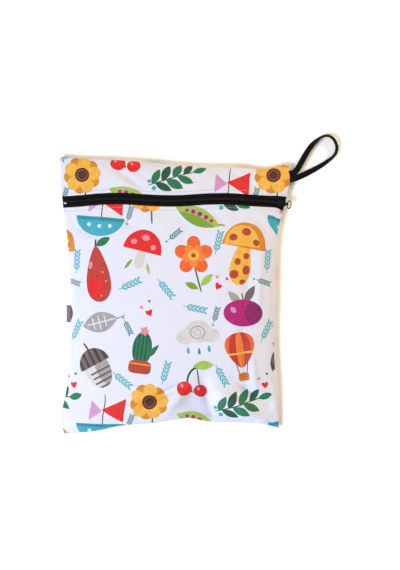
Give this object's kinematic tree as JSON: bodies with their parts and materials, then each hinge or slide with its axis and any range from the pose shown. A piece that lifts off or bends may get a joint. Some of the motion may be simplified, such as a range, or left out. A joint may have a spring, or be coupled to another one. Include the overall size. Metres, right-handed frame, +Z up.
{
  "type": "cloth diaper wet bag",
  "caption": "Flat zipped cloth wet bag lying on its back, softly filled, with a black zip below its top edge, a ring pull and a side hang loop.",
  "frame": {"origin": "on the surface that the bag lies on, under the middle of the whole bag with its hang loop", "axes": "+Z up off the surface, +Y towards the bag's top edge, +X towards the seam with the hang loop"},
  "size_m": [0.3652, 0.3904, 0.0318],
  "materials": {
    "cloth": "smooth printed knit with a laminated back, soft sheen",
    "zip_tape": "matte black woven polyester tape",
    "zip_chain": "black nylon coil, satin",
    "slider_metal": "glossy black enamel on cast zinc",
    "ring_metal": "dark nickel plated wire",
    "stop_metal": "bright stamped metal",
    "loop_tape": "black woven tape with ribbed edges",
    "tab_satin": "grey woven satin, folded"
  },
  "bodies": {
    "bag": {"back_panel": "cloth", "front_panel": "cloth", "top_panel": "cloth", "zip_tape_upper": "zip_tape", "zip_tape_lower": "zip_tape", "zip_coil": "zip_chain", "zip_slider": "slider_metal", "zip_end_stop": "stop_metal", "hang_loop": "loop_tape", "side_label": "tab_satin"},
    "pull": {"zip_pull": "ring_metal"}
  },
  "joints": [
    {"name": "pull_swing", "type": "hinge", "parent": "bag", "child": "pull", "pos_m": [0.11412, 0.10371, 0.01268], "axis": [-0.16, -0.987, -0.0143], "range_deg": [0, 190]}
  ]
}
